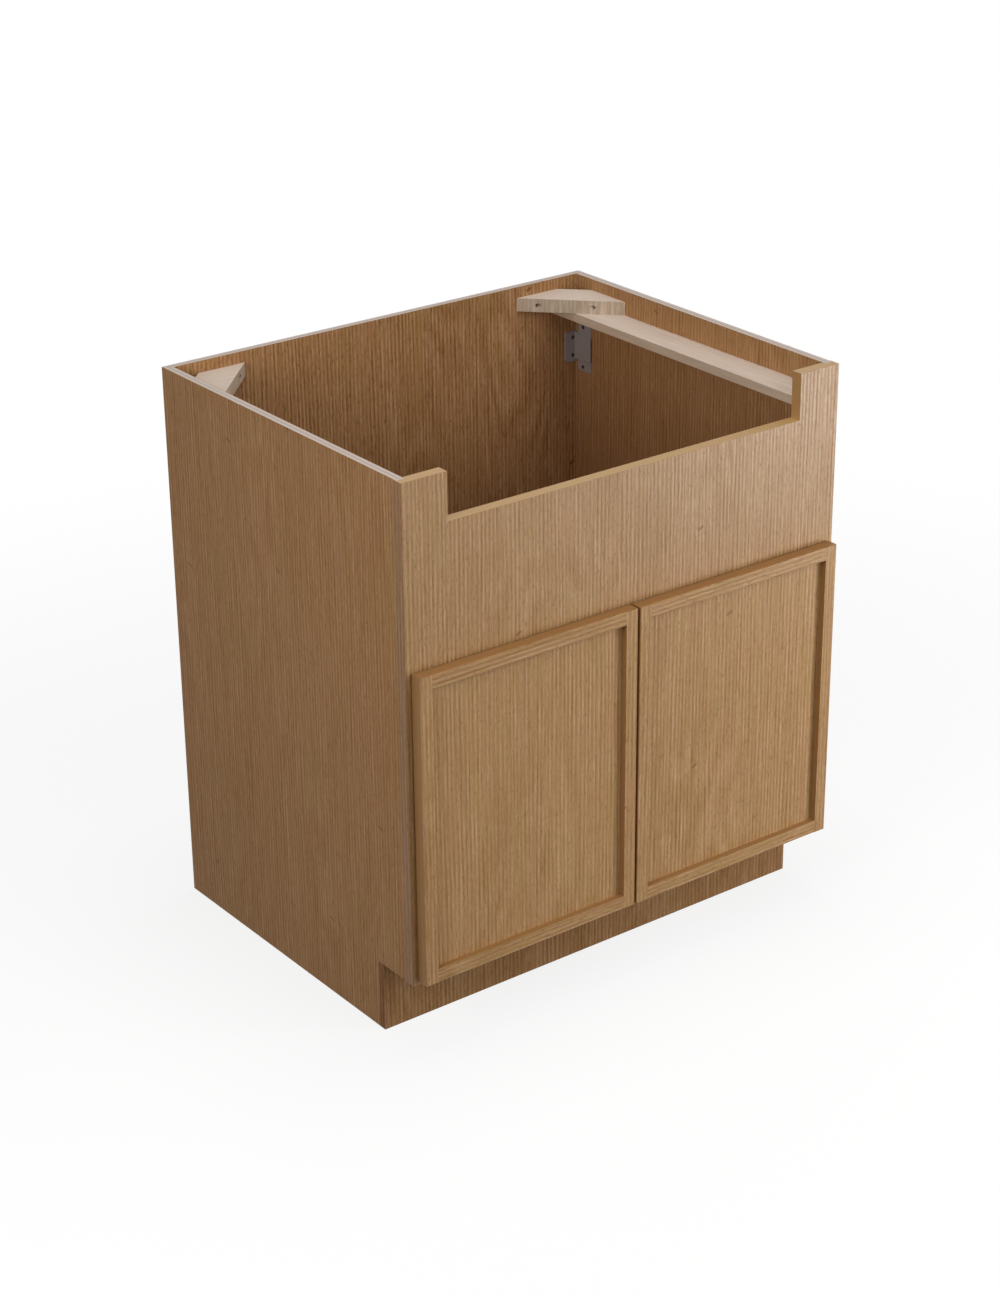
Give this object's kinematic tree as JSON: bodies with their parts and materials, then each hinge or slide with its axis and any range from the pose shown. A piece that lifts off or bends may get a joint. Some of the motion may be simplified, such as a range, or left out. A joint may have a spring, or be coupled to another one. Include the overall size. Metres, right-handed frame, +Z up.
{
  "type": "sink base cabinet",
  "caption": "Floor-standing kitchen base cabinet for an apron-front sink: open top, notched front board, slim shaker doors on concealed hinges, toe recess.",
  "frame": {"origin": "on the floor, in the middle of the width and of the whole depth", "axes": "+X to the right seen from the front, +Y to the wall, +Z up"},
  "size_m": [0.7874, 0.6306, 0.8763],
  "materials": {
    "oak_veneer_ply": "satin",
    "oak_door": "satin",
    "birch": "matte",
    "bracket_grey": "matte",
    "hinge_nickel": "satin",
    "hinge_steel": "satin",
    "screw_steel": "zinc",
    "bumper_clear": "matte"
  },
  "bodies": {
    "carcass": {"back_panel": "oak_veneer_ply", "floor_panel": "oak_veneer_ply", "front_panel": "oak_veneer_ply", "toe_kick_board": "oak_veneer_ply", "corner_block_screws": "screw_steel", "corner_bracket_screws": "screw_steel", "side_panel_left": "oak_veneer_ply", "side_panel_right": "oak_veneer_ply", "sink_rail_left": "birch", "sink_rail_right": "birch", "corner_block_left": "birch", "corner_block_right": "birch", "corner_bracket_left": "bracket_grey", "corner_bracket_right": "bracket_grey", "hinge_arm_lower_left": "hinge_nickel", "hinge_arm_lower_right": "hinge_nickel", "hinge_plate_lower_left": "hinge_nickel", "hinge_plate_lower_right": "hinge_nickel", "hinge_arm_upper_left": "hinge_nickel", "hinge_arm_upper_right": "hinge_nickel", "hinge_plate_upper_left": "hinge_nickel", "hinge_plate_upper_right": "hinge_nickel", "hinge_plate_screws_left": "screw_steel", "hinge_plate_screws_right": "screw_steel", "hinge_arm_screws_left": "screw_steel", "hinge_arm_screws_right": "screw_steel"},
    "left_door": {"door_hinge_stile_left": "oak_door", "door_free_stile_left": "oak_door", "door_bottom_rail_left": "oak_door", "door_top_rail_left": "oak_door", "door_panel_left": "oak_door", "door_bumpers_left": "bumper_clear", "hinge_cup_lower_left": "hinge_nickel", "hinge_cup_upper_left": "hinge_nickel", "hinge_pins_left": "hinge_steel", "hinge_cup_screws_left": "screw_steel"},
    "right_door": {"door_hinge_stile_right": "oak_door", "door_free_stile_right": "oak_door", "door_bottom_rail_right": "oak_door", "door_top_rail_right": "oak_door", "door_panel_right": "oak_door", "door_bumpers_right": "bumper_clear", "hinge_cup_lower_right": "hinge_nickel", "hinge_cup_upper_right": "hinge_nickel", "hinge_pins_right": "hinge_steel", "hinge_cup_screws_right": "screw_steel"}
  },
  "joints": [
    {"name": "left_door_hinge", "type": "hinge", "parent": "carcass", "child": "left_door", "pos_m": [-0.3797, -0.30428, 0.3578], "axis": [0, 0, -1], "range_deg": [0, 105]},
    {"name": "right_door_hinge", "type": "hinge", "parent": "carcass", "child": "right_door", "pos_m": [0.3797, -0.30428, 0.3578], "axis": [0, 0, 1], "range_deg": [0, 105]}
  ]
}
